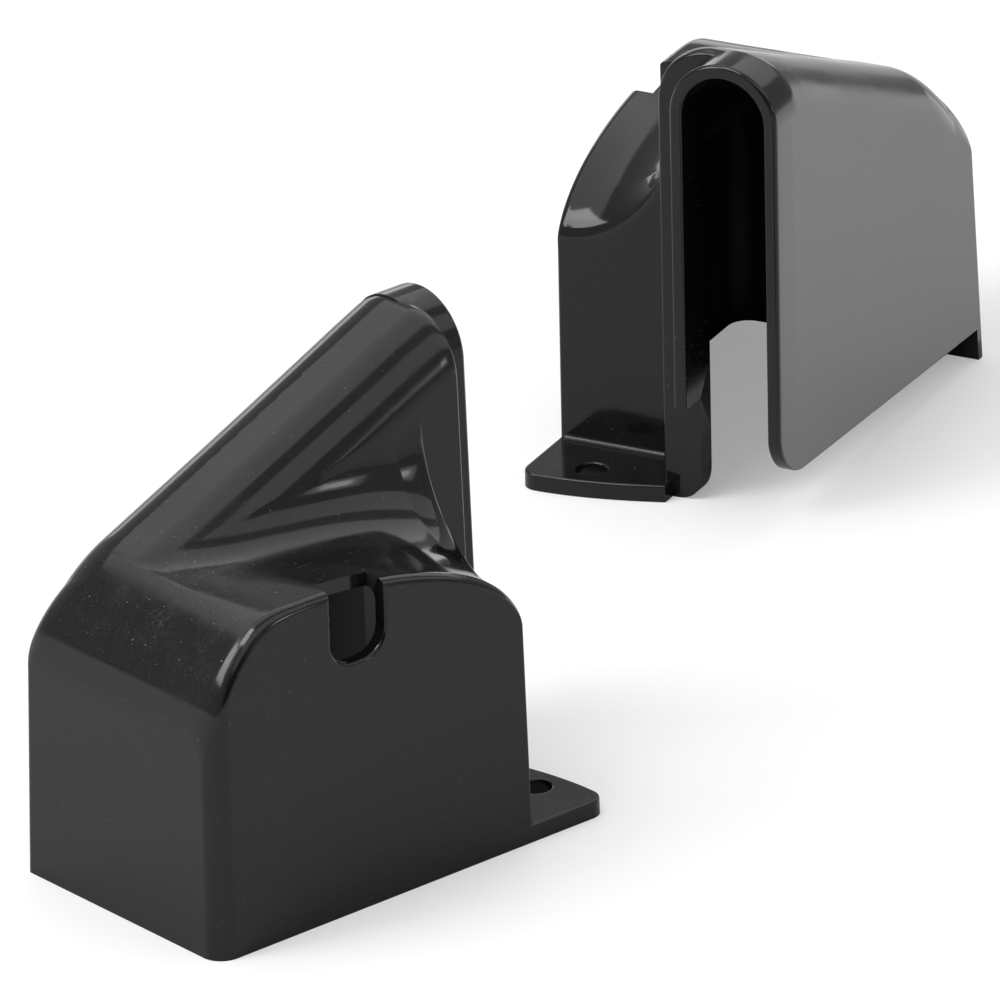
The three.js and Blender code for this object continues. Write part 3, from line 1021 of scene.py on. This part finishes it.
def around_view(azimuth, elevation, distance):
    """A place round the pair: azimuth 0 is straight away from the camera, positive to its left."""
    turn = CAMERA_AZIMUTH + math.radians(azimuth)
    lift = math.radians(elevation)
    return distance * Vector((
        -math.sin(turn) * math.cos(lift),
        math.cos(turn) * math.cos(lift),
        math.sin(lift),
    ))


def add_softbox(name, centre, aim, size, radiance):
    data = bpy.data.lights.new(name, "AREA")
    data.shape = "RECTANGLE"
    data.size, data.size_y = size
    data.energy = radiance * math.pi * size[0] * size[1]
    light = bpy.data.objects.new(name, data)
    light.location = centre
    light.rotation_euler = (Vector(aim) - Vector(centre)).to_track_quat("-Z", "Y").to_euler()
    light.visible_camera = False
    bpy.context.scene.collection.objects.link(light)
    return light


def add_floor_card():
    low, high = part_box("guard_far")
    along = Vector((-math.cos(FAR_TURN), -math.sin(FAR_TURN), 0))
    outward = Vector((along.y, -along.x, 0))
    corner = Vector((high.x, low.y, CARD_HEIGHT)) + along * CARD_BACK + outward * CARD_GAP
    centre = corner + along * CARD_SIZE[0] / 2 + outward * CARD_SIZE[1] / 2
    card = add_softbox("low_card", centre, centre + Vector((0, 0, 1)), CARD_SIZE, CARD_RADIANCE)
    card.rotation_euler = (math.pi, 0, math.atan2(along.y, along.x))


def add_lights():
    for name, (low, high, radiance) in OVERHEADS.items():
        middle = (low + high) / 2 * OVERHEAD_HEIGHT
        centre = Vector((OVERHEAD_X, middle, OVERHEAD_HEIGHT))
        size = (OVERHEAD_LENGTH, (high - low) * OVERHEAD_HEIGHT)
        add_softbox(name, centre, centre - Vector((0, 0, 1)), size, radiance)
    for name, (azimuth, elevation, distance, size, radiance) in SOFTBOXES.items():
        add_softbox(name, around_view(azimuth, elevation, distance), LIGHT_AIM, size, radiance)
    add_floor_card()


def add_world():
    world = bpy.data.worlds.new("studio")
    world.use_nodes = True
    tree = world.node_tree
    background = tree.nodes["Background"]
    background.inputs["Color"].default_value = (1, 1, 1, 1)
    way = node(tree, "TexCoord").outputs["Generated"]
    dark_way = around_view(*DARK_WAY, 1.0)
    behind = node(tree, "VectorMath", {0: way, 1: dark_way}, operation="DOT_PRODUCT")
    strength = ramp(tree, behind.outputs["Value"], DARK_FROM, DARK_TO, ROOM_LIGHT)
    tree.links.new(strength, background.inputs["Strength"])
    bpy.context.scene.world = world


add_floor()
add_lights()
add_world()
